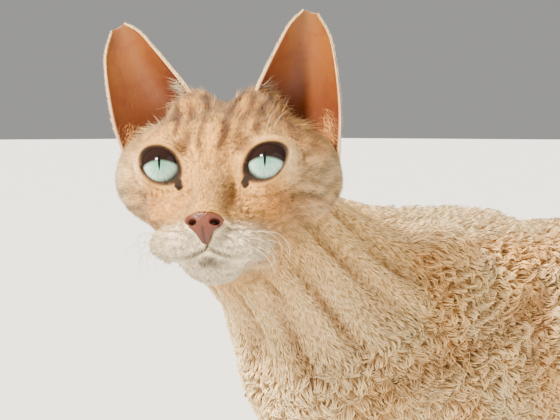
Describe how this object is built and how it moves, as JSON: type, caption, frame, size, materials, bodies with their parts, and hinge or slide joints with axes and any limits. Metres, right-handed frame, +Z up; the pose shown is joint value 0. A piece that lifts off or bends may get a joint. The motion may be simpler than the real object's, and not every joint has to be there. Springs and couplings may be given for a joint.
{
  "type": "devon rex cat",
  "caption": "Standing slender cat with a curly cream coat, very large cupped ears, a short wedge face turned to its left, and a long tapering tail.",
  "frame": {"origin": "on the floor, under the middle of the whole cat's bounding box", "axes": "+Z up, -Y the way the cat's body faces, +X its left side"},
  "size_m": [0.125, 0.5792, 0.3334],
  "materials": {
    "coat": "cream to fawn curly coat, matt",
    "face": "short cream fur, matt",
    "ear": "thin orange-pink skin with sparse down",
    "eye": "wet, pale blue-green, slit pupil",
    "leather": "reddish-brown bare skin, slightly moist"
  },
  "bodies": {
    "root": {"chest": "coat", "ear_left": "ear", "ear_right": "ear", "eye_left": "eye", "eye_right": "eye", "forearm_left": "coat", "forearm_right": "coat", "front_paw_left": "coat", "front_paw_right": "coat", "head": "face", "hind_foot_left": "coat", "hind_foot_right": "coat", "hind_paw_left": "coat", "hind_paw_right": "coat", "jaw": "face", "loin": "coat", "neck": "coat", "nose": "leather", "rump": "coat", "shank_left": "coat", "shank_right": "coat", "tail_base": "coat", "tail_end": "coat", "tail_middle": "coat", "thigh_left": "coat", "thigh_right": "coat", "upper_arm_left": "coat", "upper_arm_right": "coat"}
  },
  "joints": []
}
